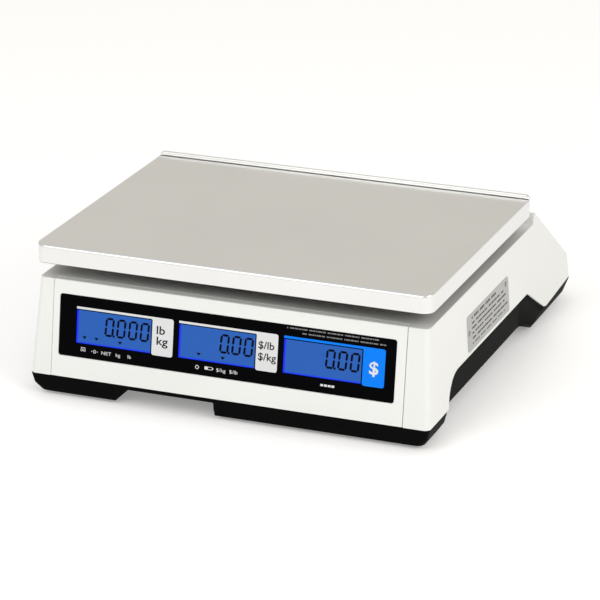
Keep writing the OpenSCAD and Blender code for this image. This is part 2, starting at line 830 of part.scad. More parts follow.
base();
top_housing();
housing_screws();
customer_panel();
customer_overlay();
weight_display();
unit_price_display();
total_price_display();
display_board();
operator_panel();
operator_overlay();
operator_displays();
operator_board();
keypad_mat();
main_board();
battery();
battery_door();
switch_housing();
power_rocker();
dc_jack();
bubble_level();
rating_plate();
load_cell();
load_cell_mount();
load_cell_fixed_screws();
load_cell_live_screws();
live_end_spacer();
overload_stops();
load_cell_cable();
platter_spider();
platter_cushions();
platter();
for (i = [0:19]) color([0.3, 0.31, 0.33]) key(i);
for (i = [0:3]) foot_pad(i);
for (i = [0:3]) foot_screw(i);
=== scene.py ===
"""Looks of the retail price scale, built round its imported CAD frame. Lengths are in metres."""
import json
import math

import bmesh
import bpy
from mathutils import Matrix, Vector


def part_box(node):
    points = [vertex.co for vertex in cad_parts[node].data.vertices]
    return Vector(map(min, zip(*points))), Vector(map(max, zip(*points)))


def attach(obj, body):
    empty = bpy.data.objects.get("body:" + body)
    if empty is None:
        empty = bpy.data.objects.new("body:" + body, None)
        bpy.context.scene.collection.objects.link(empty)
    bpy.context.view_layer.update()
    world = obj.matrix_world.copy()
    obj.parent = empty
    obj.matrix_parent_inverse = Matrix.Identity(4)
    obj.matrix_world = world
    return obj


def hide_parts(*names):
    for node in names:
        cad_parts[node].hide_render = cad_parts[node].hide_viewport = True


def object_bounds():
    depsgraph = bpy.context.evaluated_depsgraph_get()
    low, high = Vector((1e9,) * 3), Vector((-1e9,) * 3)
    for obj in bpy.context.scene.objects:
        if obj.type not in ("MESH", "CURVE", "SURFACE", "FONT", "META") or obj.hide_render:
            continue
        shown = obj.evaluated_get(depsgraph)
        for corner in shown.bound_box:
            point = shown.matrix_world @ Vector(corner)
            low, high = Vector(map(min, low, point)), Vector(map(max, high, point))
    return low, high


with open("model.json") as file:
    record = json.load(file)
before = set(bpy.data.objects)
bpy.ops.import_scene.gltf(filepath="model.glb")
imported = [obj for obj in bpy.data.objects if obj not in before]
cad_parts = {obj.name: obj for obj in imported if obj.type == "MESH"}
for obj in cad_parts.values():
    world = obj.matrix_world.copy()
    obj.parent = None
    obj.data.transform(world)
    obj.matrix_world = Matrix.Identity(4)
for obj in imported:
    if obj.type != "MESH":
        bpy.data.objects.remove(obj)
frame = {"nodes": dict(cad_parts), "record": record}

CAD_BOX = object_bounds()
NODES = frame["nodes"]
MM = 0.001
FLOOR_GAP = 0.0002

# Slopes of the two display faces, as built in the CAD frame
FRONT_TILT = math.radians(9.2)
CONSOLE_TILT = math.radians(37.6)
SIDE_DRAFT = math.radians(3.7)

# Camera, as seen in the photograph
CAMERA_AZIMUTH = math.radians(21.36)
CAMERA_ELEVATION = math.radians(20.81)
CAMERA_ROLL = math.radians(-0.15)
CAMERA_DISTANCE = 2.574
CAMERA_TARGET = Vector((0.0389, -0.053, 0.0639))
CAMERA_LENS = 182.5
CAMERA_SHIFT = -0.05


# ---------------------------------------------------------------- scene

def make_camera():
    """A long lens from the customer's right, a little above."""
    data = bpy.data.cameras.new("camera")
    data.lens = CAMERA_LENS
    data.sensor_width = 36.0
    data.shift_x = CAMERA_SHIFT
    camera = bpy.data.objects.new("camera", data)
    bpy.context.scene.collection.objects.link(camera)
    forward = Vector((
        -math.sin(CAMERA_AZIMUTH) * math.cos(CAMERA_ELEVATION),
        math.cos(CAMERA_AZIMUTH) * math.cos(CAMERA_ELEVATION),
        -math.sin(CAMERA_ELEVATION)))
    camera.location = CAMERA_TARGET - forward * CAMERA_DISTANCE
    turn = forward.to_track_quat("-Z", "Y") @ Matrix.Rotation(CAMERA_ROLL, 4, "Z").to_quaternion()
    camera.rotation_euler = turn.to_euler()
    bpy.context.scene.camera = camera


def make_light(name, location, target, size, power, colour):
    """A soft box that faces its target."""
    data = bpy.data.lights.new(name, "AREA")
    data.shape = "RECTANGLE"
    data.size, data.size_y = size
    data.energy = power
    data.color = colour
    light = bpy.data.objects.new(name, data)
    bpy.context.scene.collection.objects.link(light)
    light.location = location
    light.rotation_euler = (Vector(target) - Vector(location)).to_track_quat("-Z", "Y").to_euler()


def make_stage():
    """Pale floor, a bright horizon with a greyer ceiling, and two soft boxes."""
    bpy.ops.mesh.primitive_plane_add(size=12, location=(0, 0, CAD_BOX[0][2] - FLOOR_GAP))
    floor = bpy.context.object
    floor.name = "floor"
    paper = bpy.data.materials.new("floor_paper")
    paper.use_nodes = True
    shader = paper.node_tree.nodes["Principled BSDF"]
    shader.inputs["Base Color"].default_value = (0.93, 0.93, 0.93, 1)
    shader.inputs["Roughness"].default_value = 0.9
    shader.inputs["Specular IOR Level"].default_value = 0.1
    shader.inputs["Emission Color"].default_value = (1, 1, 1, 1)
    shader.inputs["Emission Strength"].default_value = 0.255
    floor.data.materials.append(paper)

    world = bpy.data.worlds.new("studio")
    bpy.context.scene.world = world
    world.use_nodes = True
    tree = world.node_tree
    back = tree.nodes["Background"]
    coords = tree.nodes.new("ShaderNodeTexCoord")
    split = tree.nodes.new("ShaderNodeSeparateXYZ")
    ramp = tree.nodes.new("ShaderNodeValToRGB")
    tree.links.new(coords.outputs["Generated"], split.inputs[0])
    tree.links.new(split.outputs["Z"], ramp.inputs[0])
    tree.links.new(ramp.outputs[0], back.inputs["Color"])
    ramp.color_ramp.elements[0].position = 0.04
    ramp.color_ramp.elements[0].color = (0.9, 0.9, 0.9, 1)
    ramp.color_ramp.elements[1].position = 0.2
    ramp.color_ramp.elements[1].color = (1.0, 0.95, 0.865, 1)
    for position, colour in ((0.55, (0.88, 0.85, 0.79, 1)), (0.8, (0.95, 0.95, 0.95, 1))):
        ramp.color_ramp.elements.new(position).color = colour
    back.inputs["Strength"].default_value = 0.76

    make_light("key", (1.7, -0.9, 1.2), (0, 0, 0.08), (1.2, 0.9), 12, (1.0, 0.97, 0.925))
    make_light("fill", (-0.6, -1.7, 1.3), (0, 0, 0.08), (1.2, 0.9), 8, (0.97, 0.985, 1.0))
    bpy.context.scene.view_settings.view_transform = "Standard"


# ---------------------------------------------------------------- materials

def new_material(name, colour, roughness, metallic=0.0):
    material = bpy.data.materials.new(name)
    material.use_nodes = True
    shader = material.node_tree.nodes["Principled BSDF"]
    shader.inputs["Base Color"].default_value = (*colour, 1)
    shader.inputs["Roughness"].default_value = roughness
    shader.inputs["Metallic"].default_value = metallic
    return material, material.node_tree, shader


def object_coords(tree, stretch=(1, 1, 1)):
    coords = tree.nodes.new("ShaderNodeTexCoord")
    mapping = tree.nodes.new("ShaderNodeMapping")
    mapping.inputs["Scale"].default_value = stretch
    tree.links.new(coords.outputs["Object"], mapping.inputs["Vector"])
    return mapping.outputs["Vector"]


def noise(tree, vector, scale, detail=3.0, roughness=0.5):
    node = tree.nodes.new("ShaderNodeTexNoise")
    node.inputs["Scale"].default_value = scale
    node.inputs["Detail"].default_value = detail
    node.inputs["Roughness"].default_value = roughness
    tree.links.new(vector, node.inputs["Vector"])
    return node.outputs["Fac"]


def map_range(tree, value, low, high):
    node = tree.nodes.new("ShaderNodeMapRange")
    node.inputs["To Min"].default_value = low
    node.inputs["To Max"].default_value = high
    tree.links.new(value, node.inputs["Value"])
    return node.outputs["Result"]


def blend(tree, factor, first, second):
    """Mixes two colours; the first may also be the output of a node."""
    mix = tree.nodes.new("ShaderNodeMix")
    mix.data_type = "RGBA"
    tree.links.new(factor, mix.inputs["Factor"])
    if isinstance(first, tuple):
        mix.inputs["A"].default_value = (*first, 1)
    else:
        tree.links.new(first, mix.inputs["A"])
    mix.inputs["B"].default_value = (*second, 1)
    return mix.outputs["Result"]


def shade_of(colour, amount):
    """The colour made darker or lighter by a factor."""
    return tuple(min(c * amount, 1) for c in colour)


def vary_colour(tree, shader, factor, dark, light):
    tree.links.new(blend(tree, factor, dark, light), shader.inputs["Base Color"])


def add_bump(tree, shader, height, distance, strength=1.0):
    bump = tree.nodes.new("ShaderNodeBump")
    bump.inputs["Distance"].default_value = distance
    bump.inputs["Strength"].default_value = strength
    tree.links.new(height, bump.inputs["Height"])
    tree.links.new(bump.outputs["Normal"], shader.inputs["Normal"])


def moulded(name, colour, roughness, grain=0.00002, spread=0.03, specular=0.4):
    """Injection moulded plastic: a fine spark-eroded grain and a faint drift in shade."""
    material, tree, shader = new_material(name, colour, roughness)
    shader.inputs["Specular IOR Level"].default_value = specular
    vector = object_coords(tree)
    drift = noise(tree, vector, 9, 2)
    vary_colour(tree, shader, drift, shade_of(colour, 1 - spread), shade_of(colour, 1 + spread))
    fine = noise(tree, vector, 1400, 2, 0.6)
    tree.links.new(map_range(tree, fine, roughness - 0.06, roughness + 0.06), shader.inputs["Roughness"])
    add_bump(tree, shader, fine, grain, 0.6)
    return material


def gloss(name, colour, roughness=0.08, specular=0.3):
    """Hard gloss print or moulding, with a faint waviness."""
    material, tree, shader = new_material(name, colour, roughness)
    shader.inputs["Specular IOR Level"].default_value = specular
    vector = object_coords(tree)
    tree.links.new(map_range(tree, noise(tree, vector, 60, 3), roughness - 0.03, roughness + 0.05),
                   shader.inputs["Roughness"])
    vary_colour(tree, shader, noise(tree, vector, 25, 2), shade_of(colour, 0.9), colour)
    return material


def brushed(name, colour, roughness, along=(1, 60, 60), scale=220, scratch=0.000004, spread=0.1):
    """Metal with a fine grain drawn along one direction."""
    material, tree, shader = new_material(name, colour, roughness, 1.0)
    streak = noise(tree, object_coords(tree, along), scale / 10, 4, 0.65)
    blotch = noise(tree, object_coords(tree), 7, 2)
    vary_colour(tree, shader, blotch, shade_of(colour, 0.95), shade_of(colour, 1.04))
    tree.links.new(map_range(tree, streak, roughness - spread, roughness + spread),
                   shader.inputs["Roughness"])
    add_bump(tree, shader, streak, scratch, 0.5)
    return material


def paint_shade_below(material, colour):
    """Paints the faces that look down a dark colour: painted shade, which darkens the shadow under the
    platter.
    """
    tree = material.node_tree
    base = tree.nodes["Principled BSDF"].inputs["Base Color"]
    geometry = tree.nodes.new("ShaderNodeNewGeometry")
    split = tree.nodes.new("ShaderNodeSeparateXYZ")
    below = tree.nodes.new("ShaderNodeMath")
    below.operation = "LESS_THAN"
    below.inputs[1].default_value = -0.5
    tree.links.new(geometry.outputs["True Normal"], split.inputs[0])
    tree.links.new(split.outputs["Z"], below.inputs[0])
    tree.links.new(blend(tree, below.outputs[0], base.links[0].from_socket, colour), base)


def cast(name, colour):
    """Cast or machined aluminium with a coarse skin."""
    material, tree, shader = new_material(name, colour, 0.42, 1.0)
    vector = object_coords(tree)
    skin = noise(tree, vector, 520, 4, 0.6)
    tree.links.new(map_range(tree, skin, 0.32, 0.55), shader.inputs["Roughness"])
    vary_colour(tree, shader, noise(tree, vector, 30, 3), shade_of(colour, 0.88), colour)
    add_bump(tree, shader, skin, 0.00004, 0.6)
    return material


def rubbery(name, colour):
    """Rubber or silicone: matt, with a fine uneven skin."""
    material, tree, shader = new_material(name, colour, 0.75)
    vector = object_coords(tree)
    vary_colour(tree, shader, noise(tree, vector, 60, 4), shade_of(colour, 0.8), shade_of(colour, 1.2))
    add_bump(tree, shader, noise(tree, vector, 900, 3), 0.00003, 0.7)
    return material


def board(name):
    """Circuit board: solder mask over a faint pattern of tracks."""
    material, tree, shader = new_material(name, (0.02, 0.18, 0.07), 0.35)
    vector = object_coords(tree)
    brick = tree.nodes.new("ShaderNodeTexBrick")
    brick.inputs["Scale"].default_value = 120
    brick.inputs["Mortar Size"].default_value = 0.06
    brick.inputs["Color1"].default_value = (0.015, 0.16, 0.06, 1)
    brick.inputs["Color2"].default_value = (0.02, 0.20, 0.08, 1)
    brick.inputs["Mortar"].default_value = (0.05, 0.30, 0.12, 1)
    tree.links.new(vector, brick.inputs["Vector"])
    tree.links.new(brick.outputs["Color"], shader.inputs["Base Color"])
    return material


def make_materials():
    materials = {
        "white_plastic": moulded("white_plastic", (0.79, 0.80, 0.785), 0.42),
        "insert_plastic": moulded("insert_plastic", (0.80, 0.81, 0.795), 0.38),
        "black_plastic": moulded("black_plastic", (0.0025, 0.0025, 0.0025), 0.5, 0.00003, 0.15, 0.025),
        "gloss_black": gloss("gloss_black", (0.001, 0.001, 0.0015), 0.12, 0.02),
        "display_blue": gloss("display_frame", (0.02, 0.06, 0.2), 0.2),
        "panel_grey": moulded("panel_grey", (0.74, 0.75, 0.73), 0.35, 0.00001),
        "key_grey": moulded("key_grey", (0.07, 0.075, 0.085), 0.5),
        "silicone": rubbery("silicone", (0.12, 0.12, 0.12)),
        "board_green": board("board_green"),
        "battery_case": moulded("battery_case", (0.03, 0.03, 0.035), 0.5),
        "screw_steel": brushed("screw_steel", (0.62, 0.62, 0.60), 0.3, (1, 1, 1), 400),
        "stainless": brushed("stainless", (0.80, 0.80, 0.79), 0.3, scratch=0.0000012, spread=0.04),
        "aluminium": brushed("machined_aluminium", (0.78, 0.79, 0.80), 0.3),
        "cast_aluminium": cast("cast_aluminium", (0.56, 0.57, 0.58)),
        "rubber": rubbery("rubber", (0.02, 0.02, 0.02)),
        "level_fluid": gloss("level_fluid", (0.45, 0.75, 0.08), 0.05),
        "label_silver": brushed("label_foil", (0.47, 0.47, 0.46), 0.4, (1, 40, 1), 300),
        "cable_grey": rubbery("cable_grey", (0.12, 0.12, 0.125)),
    }
    # Painted shade: the platter's downward faces are painted dark so that the deck under it reads as shadow.
    paint_shade_below(materials["stainless"], (0.05, 0.05, 0.05))
    return materials


def dress_frame(materials):
    """Gives every CAD node the material of its slot."""
    slots = {part["node"]: part["material_slot"] for part in frame["record"]["subparts"]}
    for name, node in NODES.items():
        node.data.materials.clear()
        node.data.materials.append(materials[slots[name]])


# ---------------------------------------------------------------- edges of the CAD nodes

def soften(name, width, segments=2, angle=32):
    """Rounds a CAD node's sharp edges with modifiers, leaving its own mesh alone."""
    node = NODES[name]
    weld = node.modifiers.new("weld", "WELD")
    weld.merge_threshold = 1e-6
    flat = node.modifiers.new("flat", "DECIMATE")
    flat.decimate_type = "DISSOLVE"
    flat.angle_limit = math.radians(0.6)
    edge = node.modifiers.new("edge", "BEVEL")
    edge.width = width
    edge.segments = segments
    edge.limit_method = "ANGLE"
    edge.angle_limit = math.radians(angle)
    edge.use_clamp_overlap = False
    edge.miter_outer = "MITER_ARC"
    shade(node)


def shade(piece):
    """Smooth shading that keeps the big faces flat."""
    mesh = piece.data
    if mesh.has_custom_normals:
        mesh.attributes.remove(mesh.attributes["custom_normal"])
    for name in ("sharp_edge", "sharp_face"):
        if name in mesh.attributes:
            mesh.attributes.remove(mesh.attributes[name])
    normals = piece.modifiers.new("normals", "WEIGHTED_NORMAL")
    normals.weight = 100
    normals.mode = "FACE_AREA"


def soften_frame():
    """Rounds the edges of the nodes that are seen, each by its own width."""
    widths = {
        "base": 0.0006, "top_housing": 0.0008, "customer_panel": 0.0005, "operator_panel": 0.0003,
        "customer_overlay": 0.0001, "operator_overlay": 0.0001, "battery_door": 0.0003,
        "switch_housing": 0.0003, "power_rocker": 0.0003, "dc_jack": 0.0003, "bubble_level": 0.0003,
        "load_cell": 0.0004, "load_cell_mount": 0.0004, "live_end_spacer": 0.0004,
        "platter_spider": 0.0007, "platter_cushions": 0.0006, "battery": 0.001,
        "housing_screws": 0.0002, "load_cell_fixed_screws": 0.0003, "load_cell_live_screws": 0.0003}
    widths.update({name: 0.0004 for name in NODES if name.startswith("key_")})
    widths.update({name: 0.0004 for name in NODES if name.startswith("foot_pad")})
    for name, width in widths.items():
        soften(name, width)


# ---------------------------------------------------------------- pieces on flat faces

# Height of a capital in the built-in typeface at a size of 1
CAPITAL = 0.729
# Thickness of a print
INK = 0.04


def plane(origin, right, up):
    """Frame of a flat face: millimetres along it and out of it, into metres."""
    turn = Matrix((right, up, right.cross(up))).transposed().to_4x4()
    return Matrix.Translation(origin) @ turn @ Matrix.Scale(MM, 4)


def add_prism(mesh, outline, low, high):
    """Adds one closed outline, thickened from low to high."""
    bottom = [mesh.verts.new((x, y, low)) for x, y in outline]
    top = [mesh.verts.new((x, y, high)) for x, y in outline]
    mesh.faces.new(top)
    mesh.faces.new(bottom[::-1])
    for i in range(len(outline)):
        j = (i + 1) % len(outline)
        mesh.faces.new((bottom[i], bottom[j], top[j], top[i]))


def add_letters(mesh, words, tall, x, y, thickness, align="CENTER", weight=0.0, wide=1.0):
    """Adds raised letters whose capitals are tall; y is their baseline."""
    curve = bpy.data.curves.new("letters", "FONT")
    curve.body = words
    curve.size = tall / CAPITAL
    curve.align_x = align
    curve.extrude = thickness / 2
    curve.offset = weight * tall
    curve.resolution_u = 3
    text = bpy.data.objects.new("letters", curve)
    bpy.context.scene.collection.objects.link(text)
    bpy.context.view_layer.update()
    letters = bpy.data.meshes.new_from_object(text.evaluated_get(bpy.context.evaluated_depsgraph_get()))
    letters.transform(Matrix.Translation((x, y, thickness / 2)) @ Matrix.Diagonal((wide, 1, 1, 1)))
    mesh.from_mesh(letters)
    bpy.data.objects.remove(text)
    bpy.data.curves.remove(curve)
    bpy.data.meshes.remove(letters)


def place(name, mesh, matrix, material, body):
    """Turns a mesh being built into a finished piece that rides on a body."""
    bmesh.ops.transform(mesh, matrix=matrix, verts=mesh.verts)
    bmesh.ops.recalc_face_normals(mesh, faces=mesh.faces)
    data = bpy.data.meshes.new(name)
    mesh.to_mesh(data)
    mesh.free()
    piece = bpy.data.objects.new(name, data)
    bpy.context.scene.collection.objects.link(piece)
    data.materials.append(material)
    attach(piece, body)
    return piece


def arc(cx, cy, r, start, end, steps=6):
    """Points of an arc, in degrees, counter-clockwise when end is the larger."""
    return [(cx + r * math.cos(math.radians(start + (end - start) * i / steps)),
             cy + r * math.sin(math.radians(start + (end - start) * i / steps)))
            for i in range(steps + 1)]


def block(x, y, w, h):
    """A rectangle from its lower left corner."""
    return [(x, y), (x + w, y), (x + w, y + h), (x, y + h)]


def rounded(x0, y0, x1, y1, r):
    """A rectangle between two corners, with round corners."""
    return (arc(x1 - r, y0 + r, r, -90, 0) + arc(x1 - r, y1 - r, r, 0, 90)
            + arc(x0 + r, y1 - r, r, 90, 180) + arc(x0 + r, y0 + r, r, 180, 270))


def quarter(steps, first=0):
    """Angles of a quarter turn, from the step given as first."""
    return [math.radians(90 * k / steps) for k in range(first, steps + 1)]


def circle(mesh, x, y, r, level, steps):
    """Adds the vertices of a level circle."""
    return [mesh.verts.new((x + r * math.cos(2 * math.pi * k / steps),
                            y + r * math.sin(2 * math.pi * k / steps), level))
            for k in range(steps)]


def bridge(mesh, loops):
    """Joins each closed loop of vertices to the next with a band of faces."""
    for a, b in zip(loops, loops[1:]):
        for k in range(len(a)):
            n = (k + 1) % len(a)
            mesh.faces.new((a[k], a[n], b[n], b[k]))


def add_ring(mesh, x, y, r, width, low, high, steps=24):
    """Adds a flat ring."""
    loops = [circle(mesh, x, y, radius, level, steps)
             for radius, level in ((r, low), (r, high), (r - width, high), (r - width, low))]
    bridge(mesh, loops + loops[:1])


def add_strokes(mesh, x, end, y, tall, widths, gap, word_gap, word):
    """Adds a row of plain strokes in place of words: wider gaps come after every so many strokes."""
    k = 0
    while x < end:
        w = widths[k % len(widths)]
        add_prism(mesh, block(x, y, w, tall), 0, INK)
        x += w + (gap if k % word else word_gap)
        k += 1


# ---------------------------------------------------------------- digits and glass

# Seven-segment digits of the displays
DIGIT_W = 8.2
DIGIT_H = 16.2
DIGIT_PITCH = 10.6
STROKE = 1.9
POINT = 0.95 * STROKE
POINT_SHIFT = 0.5
SLANT = math.tan(math.radians(4))

# What the three displays show
DISPLAYS = ("weight", "unit_price", "total_price")
DECIMALS = (3, 2, 2)

# How far the lamps' pure blue reaches in from the left and the lower edge of the glass, in metres
LAMP_REACH = 0.0028
LOWER_REACH = 0.0018


def segment(x0, y0, x1, y1, stroke):
    """One bar of a digit, pointed at both ends."""
    along = Vector((x1 - x0, y1 - y0)).normalized()
    side = Vector((-along.y, along.x)) * stroke / 2
    a = Vector((x0, y0)) + along * 0.12 * stroke
    b = Vector((x1, y1)) - along * 0.12 * stroke
    in_a, in_b = a + along * stroke / 2, b - along * stroke / 2
    return [tuple(p) for p in (a, in_a - side, in_b - side, b, in_b + side, in_a + side)]


def zero(x, y, scale):
    """The six lit bars of a nought."""
    w, h, t = DIGIT_W * scale, DIGIT_H * scale, STROKE * scale
    left, right, low, middle, high = t / 2, w - t / 2, t / 2, h / 2, h - t / 2
    bars = [(left, high, right, high), (right, middle, right, high), (right, low, right, middle),
            (left, low, right, low), (left, low, left, middle), (left, middle, left, high)]
    return [[(x + px + py * SLANT, y + py) for px, py in segment(*bar, t)] for bar in bars]


def reading(places, right, base, scale=1.0):
    """Outlines of a nought with that many decimal places, ending at right."""
    end = right - DIGIT_H * scale * SLANT
    shapes = []
    for k in range(places + 1):
        shapes += zero(end - (DIGIT_W + k * DIGIT_PITCH) * scale, base, scale)
    shapes.append(block(end - (places * DIGIT_PITCH + POINT_SHIFT) * scale, base,
                        POINT * scale, POINT * scale))
    return shapes


def marker(x, y):
    """A small triangle that points down at a legend."""
    return [(x - 2.0, y + 1.2), (x, y - 1.3), (x + 2.0, y + 1.2)]


def lcd_glass(name, corner, right, up, material_name):
    """Lit display: mid blue, running into the pure blue of the lamps along its left and lower edges."""
    material, tree, shader = new_material(material_name, (0.004, 0.01, 0.03), 0.3)
    coords = tree.nodes.new("ShaderNodeTexCoord")

    def edge(axis, reach, strength):
        along = tree.nodes.new("ShaderNodeVectorMath")
        along.operation = "DOT_PRODUCT"
        tree.links.new(coords.outputs["Object"], along.inputs[0])
        along.inputs[1].default_value = axis
        fade = tree.nodes.new("ShaderNodeMapRange")
        fade.interpolation_type = "SMOOTHSTEP"
        fade.inputs["From Min"].default_value = corner.dot(axis)
        fade.inputs["From Max"].default_value = corner.dot(axis) + reach
        fade.inputs["To Min"].default_value = strength
        fade.inputs["To Max"].default_value = 0
        tree.links.new(along.outputs["Value"], fade.inputs["Value"])
        return fade.outputs["Result"]

    both = tree.nodes.new("ShaderNodeMath")
    both.operation = "MAXIMUM"
    tree.links.new(edge(right, LAMP_REACH, 1.0), both.inputs[0])
    tree.links.new(edge(up, LOWER_REACH, 0.75), both.inputs[1])
    lit = blend(tree, both.outputs[0], (0.016, 0.105, 0.44), (0.0, 0.004, 1.0))
    tree.links.new(lit, shader.inputs["Emission Color"])
    shader.inputs["Emission Strength"].default_value = 1.0
    shader.inputs["Specular IOR Level"].default_value = 0.15
    NODES[name].data.materials.clear()
    NODES[name].data.materials.append(material)


# ---------------------------------------------------------------- customer side

# Overlay and its windows, in millimetres from its lower left corner
FRONT_RIGHT = Vector((1, 0, 0))
FRONT_UP = Vector((0, math.sin(FRONT_TILT), math.cos(FRONT_TILT)))
OVERLAY_T = 0.8
WINDOW_LEFTS = [15.4 + 92.5 * i for i in range(3)]
WINDOW_LOW = 12.0
WINDOW_W = 67.7
WINDOW_H = 28.2
GLASS_DROP = 0.3
GLASS_EDGE = 0.3
READING_RIGHT = 66.6
READING_BASE = 8.7
MARKERS = (((7.8, 5.2), (18.6, 5.2), (40.0, 4.8)), ((18.3, 5.2), (39.7, 4.6)), ())

# The tab beside a window and the bar that runs over the window
TAB_GAP = 1.0
TAB_W = 18.9
TAB_BELOW = 1.0
TAB_ABOVE = 2.8
TAB_R = 2
BAR_H = 1.9
BAR_FILLET = 1.2
TAB_LEFTS = [left + WINDOW_W + TAB_GAP for left in WINDOW_LEFTS]

# Baseline of the legends in the strip below the windows
LEGEND_BASE = 5.0


def front_plane(out=0.0):
    """Overlay's outer face, from its lower left corner."""
    corner = Vector(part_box("customer_overlay")[0])
    origin = corner + Vector((0, 0, OVERLAY_T * MM * math.sin(FRONT_TILT)))
    return plane(origin, FRONT_RIGHT, FRONT_UP) @ Matrix.Translation((0, 0, out))


def make_inks():
    return {
        "white": gloss("print_white", (0.72, 0.73, 0.74), 0.35),
        "blue": gloss("print_blue", (0.0, 0.21, 0.95), 0.35, 0.1),
        "black": gloss("print_black", (0.002, 0.002, 0.003), 0.4, 0.1),
        "grey": gloss("print_grey", (0.20, 0.20, 0.20), 0.4, 0.1),
        "segments": gloss("lcd_segments", (0.001, 0.001, 0.004), 0.4, 0.05),
    }


def make_displays(inks):
    """Lit glass of the three windows, with their digits and markers."""
    matrix = front_plane(-GLASS_DROP)
    for name, left, places, markers in zip(DISPLAYS, WINDOW_LEFTS, DECIMALS, MARKERS):
        corner = matrix @ Vector((left + GLASS_EDGE, WINDOW_LOW + GLASS_EDGE, 0))
        lcd_glass(name + "_display", corner, FRONT_RIGHT, FRONT_UP, name + "_glass")
        digits = bmesh.new()
        for shape in reading(places, left + READING_RIGHT, WINDOW_LOW + READING_BASE):
            add_prism(digits, shape, 0, INK)
        for x, y in markers:
            add_prism(digits, marker(left + x, WINDOW_LOW + y), 0, INK)
        place(name + "_digits", digits, matrix, inks["segments"], "body")


def tab_outline(left, tab_left):
    """The bar over a window and the tab beside it, in one outline."""
    low, high = WINDOW_LOW - TAB_BELOW, WINDOW_LOW + WINDOW_H + TAB_ABOVE
    tab_right = tab_left + TAB_W
    under, inner = high - BAR_H, tab_left - BAR_FILLET
    return ([(left, under), (inner, under)] + arc(inner, under - BAR_FILLET, BAR_FILLET, 90, 0, 4)
            + arc(tab_left + TAB_R, low + TAB_R, TAB_R, 180, 270)
            + arc(tab_right - TAB_R, low + TAB_R, TAB_R, 270, 360)
            + arc(tab_right - TAB_R, high - TAB_R, TAB_R, 0, 90) + [(left, high)])


def make_tabs(inks):
    """Printed tabs and the unit marks on them."""
    for name, left, tab_left, ink in zip(DISPLAYS, WINDOW_LEFTS, TAB_LEFTS, ("white", "white", "blue")):
        tab = bmesh.new()
        add_prism(tab, tab_outline(left, tab_left), 0, INK)
        place(name + "_tab", tab, front_plane(), inks[ink], "body")
    units = bmesh.new()
    weight_tab, price_tab, total_tab = TAB_LEFTS
    for word, tall, x, y, wide in (("lb", 7.1, weight_tab + 3.4, 29.2, 1.2),
                                   ("kg", 7.1, weight_tab + 3.7, 20.2, 1.2),
                                   ("$/lb", 6.4, price_tab + 1.5, 29.5, 1.07),
                                   ("$/kg", 6.4, price_tab + 1.5, 19.9, 1.07)):
        add_letters(units, word, tall, x, y, INK, "LEFT", 0.015, wide)
    place("unit_marks", units, front_plane(INK), inks["black"], "body")
    money = bmesh.new()
    add_letters(money, "$", 10.8, total_tab + TAB_W / 2, 21.4, INK, "CENTER", 0.022, 1.1)
    place("money_mark", money, front_plane(INK), inks["white"], "body")


def add_stable_mark(mesh, x, y):
    """A beam over two pans."""
    add_prism(mesh, block(x - 2.2, y + 3.3, 4.4, 0.5), 0, INK)
    for side in (-1.2, 1.2):
        add_ring(mesh, x + side, y + 1.6, 1.1, 0.4, 0, INK, 16)


def add_nought_mark(mesh, x, y):
    """A nought between two dots."""
    add_letters(mesh, "0", 3.2, x, y, INK, wide=1.2)
    for side in (-2.4, 2.4):
        add_prism(mesh, arc(x + side, y + 1.6, 0.4, 0, 330, 8), 0, INK)


def add_battery_mark(mesh, x, y):
    """A battery, half full: the charge, the two long walls, the end and its cap."""
    add_prism(mesh, rounded(x, y + 0.3, x + 3.1, y + 2.9, 0.4), 0, INK)
    for dx, dy, w, h in ((3.1, 0.3, 4.0, 0.4), (3.1, 2.5, 4.0, 0.4),
                         (6.7, 0.7, 0.4, 1.8), (7.1, 1.1, 0.8, 1.0)):
        add_prism(mesh, block(x + dx, y + dy, w, h), 0, INK)


def make_legends(inks):
    """White legends in the strip below the windows."""
    legends = bmesh.new()
    add_stable_mark(legends, 22.4, LEGEND_BASE)
    add_nought_mark(legends, 32.8, LEGEND_BASE)
    add_ring(legends, 125.5, LEGEND_BASE + 1.4, 1.7, 0.55, 0, INK)
    add_battery_mark(legends, 132.1, LEGEND_BASE)
    for word, x in (("NET", 38.8), ("kg", 51.9), ("lb", 62.7), ("$/kg", 142.3), ("$/lb", 153.9)):
        add_letters(legends, word, 3.0, x, LEGEND_BASE, INK, "LEFT", wide=1.2)
    # Four plain blocks in place of a word
    for k in range(4):
        add_prism(legends, block(233.8 + 3.2 * k, LEGEND_BASE + 0.6, 2.5, 1.8), 0, INK)
    place("customer_legends", legends, front_plane(), inks["white"], "body")


def make_fine_print(inks):
    """Two rows of fine print over the third window, as plain strokes."""
    fine = bmesh.new()
    for row, (x, end, y) in enumerate(((202.5, 283.0, 49.4), (216.0, 287.0, 46.0))):
        widths = [1.0 + 0.9 * ((7 * k + 3 * row) % 4) for k in range(4)]
        add_strokes(fine, x, end, y, 1.1, widths, 0.5, 1.6, 5)
    place("fine_print", fine, front_plane(), inks["grey"], "body")


# ---------------------------------------------------------------- platter

# Pressed sheet: its thickness, the lip's height and the radii of its corners in plan
SHEET = 0.0012
LIP_H = 0.004
FRONT_CORNER = 0.009
BACK_CORNER = 0.0025
BURR = 0.0004

# Hem along the back: thickness, round top, the gap under it and how far the gap goes in
HEM_T = 0.003
HEM_R = 0.0014
HEM_GAP = 0.0005
HEM_GAP_DEPTH = 0.001
HEM_END_R = 0.0036
HEM_CHAMFER = 0.0001


def platter_rim(low, high, steps=10):
    """Points round the platter: corner's centre, outward direction and corner's radius."""
    rim = []
    for x, y, r, start in ((high.x, low.y, FRONT_CORNER, -90), (high.x, high.y, BACK_CORNER, 0),
                           (low.x, high.y, BACK_CORNER, 90), (low.x, low.y, FRONT_CORNER, 180)):
        cx = x - math.copysign(r, x)
        cy = y + (r if start in (-90, 180) else -r)
        for i in range(steps + 1):
            a = math.radians(start + 90 * i / steps)
            rim.append((cx, cy, math.cos(a), math.sin(a), r))
    return rim


